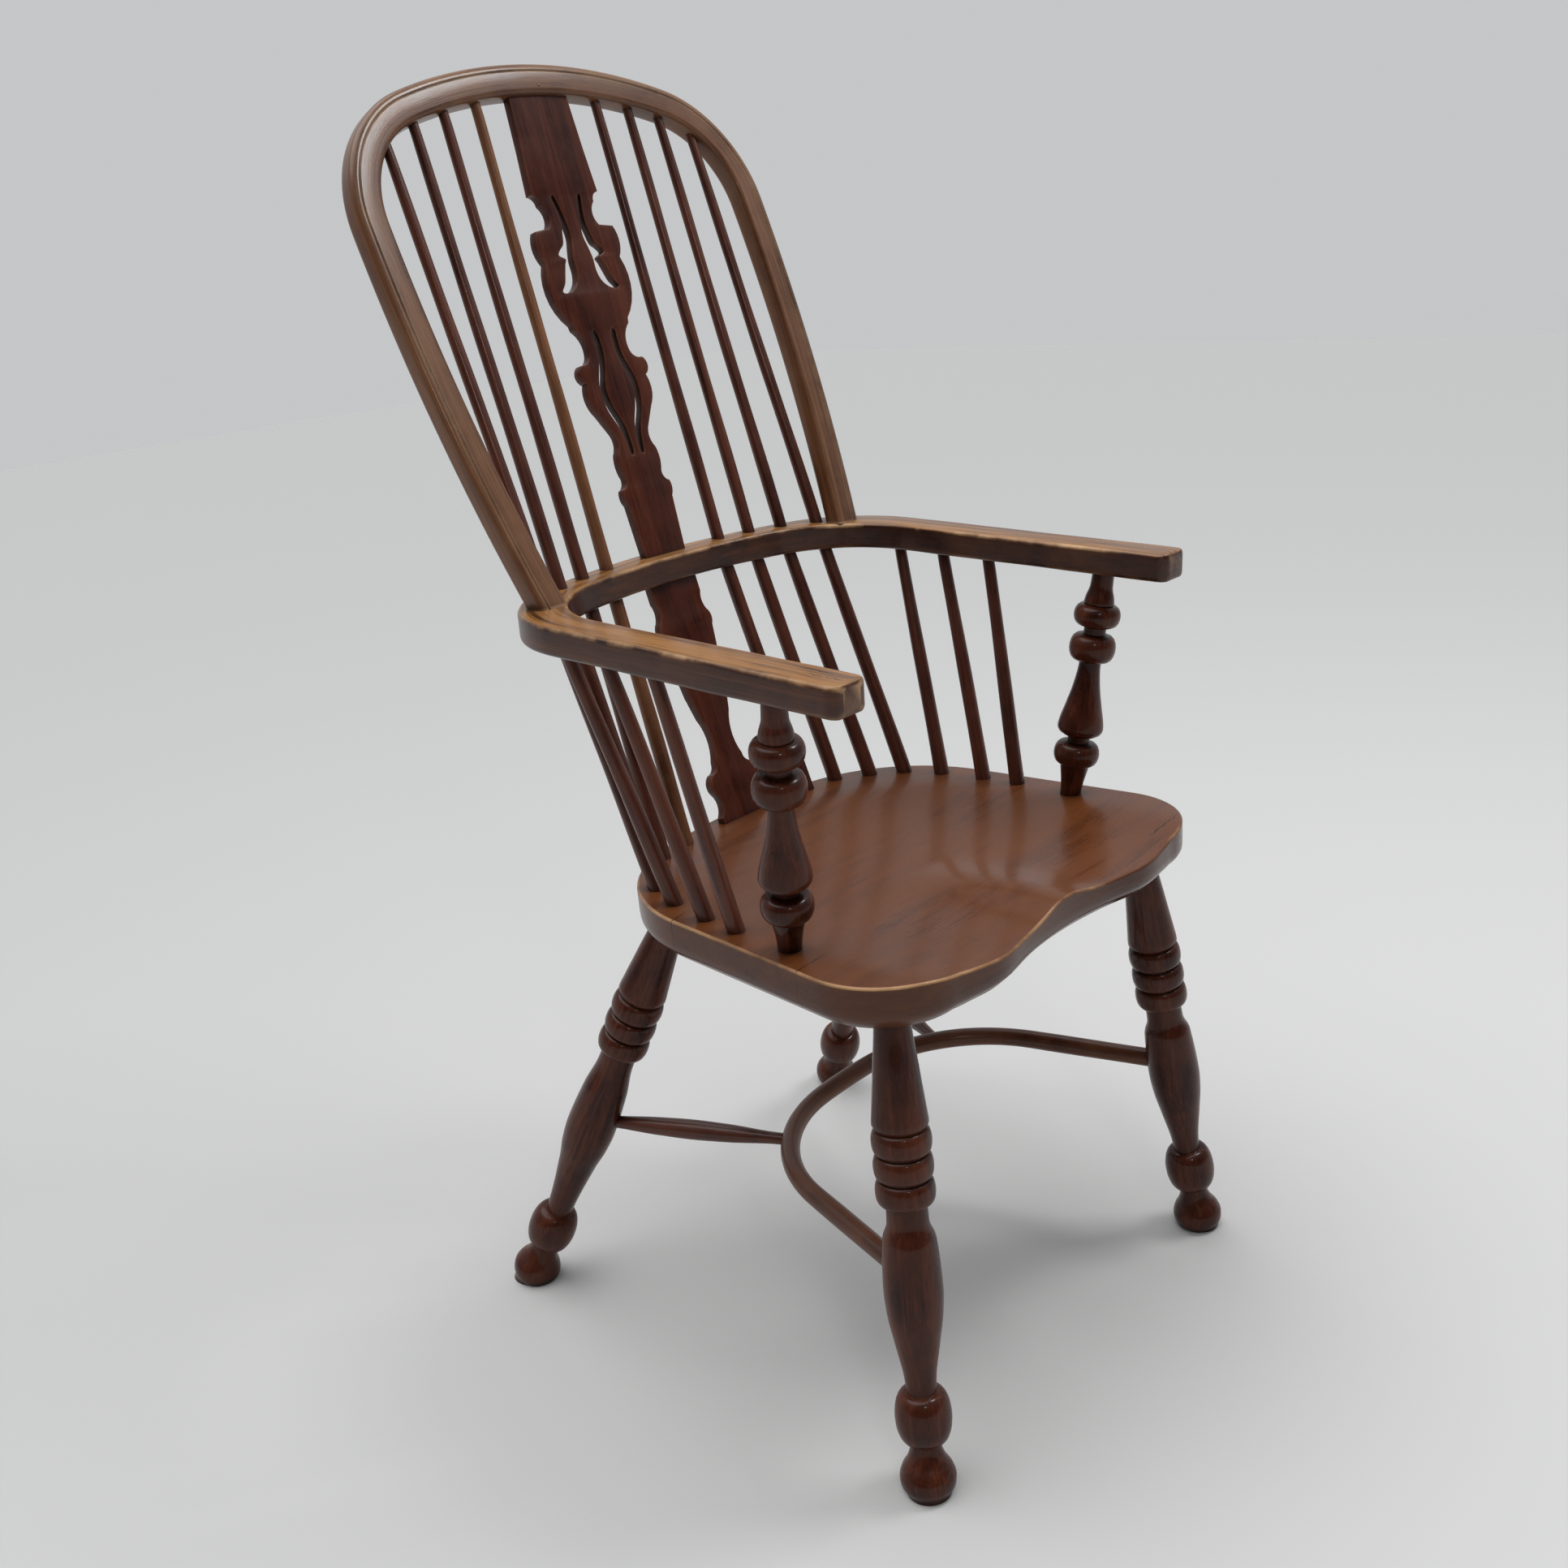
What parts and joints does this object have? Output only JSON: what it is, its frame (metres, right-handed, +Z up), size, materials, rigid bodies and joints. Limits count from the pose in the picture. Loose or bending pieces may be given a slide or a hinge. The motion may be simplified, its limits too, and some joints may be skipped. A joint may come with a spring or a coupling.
{
  "type": "windsor armchair",
  "caption": "High hoop-backed wooden armchair with a pierced splat, turned legs and a bowed crinoline stretcher.",
  "frame": {"origin": "on the floor, under the middle of the chair's bounding box", "axes": "+Z up, -Y towards the front of the chair, +X towards the sitter's left"},
  "size_m": [0.514, 0.5838, 1.1366],
  "materials": {
    "elm_seat": "satin",
    "bent_wood": "satin",
    "splat_wood": "satin",
    "stick_wood": "satin",
    "turned_wood": "satin"
  },
  "bodies": {
    "root": {"arm_bow": "bent_wood", "back_hoop": "bent_wood", "back_left_leg": "turned_wood", "back_right_leg": "turned_wood", "crinoline_stretcher": "bent_wood", "front_left_leg": "turned_wood", "front_right_leg": "turned_wood", "left_arm_post": "turned_wood", "left_long_stick_1": "stick_wood", "left_long_stick_2": "stick_wood", "left_long_stick_3": "stick_wood", "left_long_stick_4": "stick_wood", "left_short_stick_1": "stick_wood", "left_short_stick_2": "stick_wood", "left_short_stick_3": "stick_wood", "left_spur": "stick_wood", "lower_splat": "splat_wood", "right_arm_post": "turned_wood", "right_long_stick_1": "stick_wood", "right_long_stick_2": "stick_wood", "right_long_stick_3": "stick_wood", "right_long_stick_4": "stick_wood", "right_short_stick_1": "stick_wood", "right_short_stick_2": "stick_wood", "right_short_stick_3": "stick_wood", "right_spur": "stick_wood", "seat": "elm_seat", "splat_pin": "splat_wood", "upper_splat": "splat_wood"}
  },
  "joints": []
}
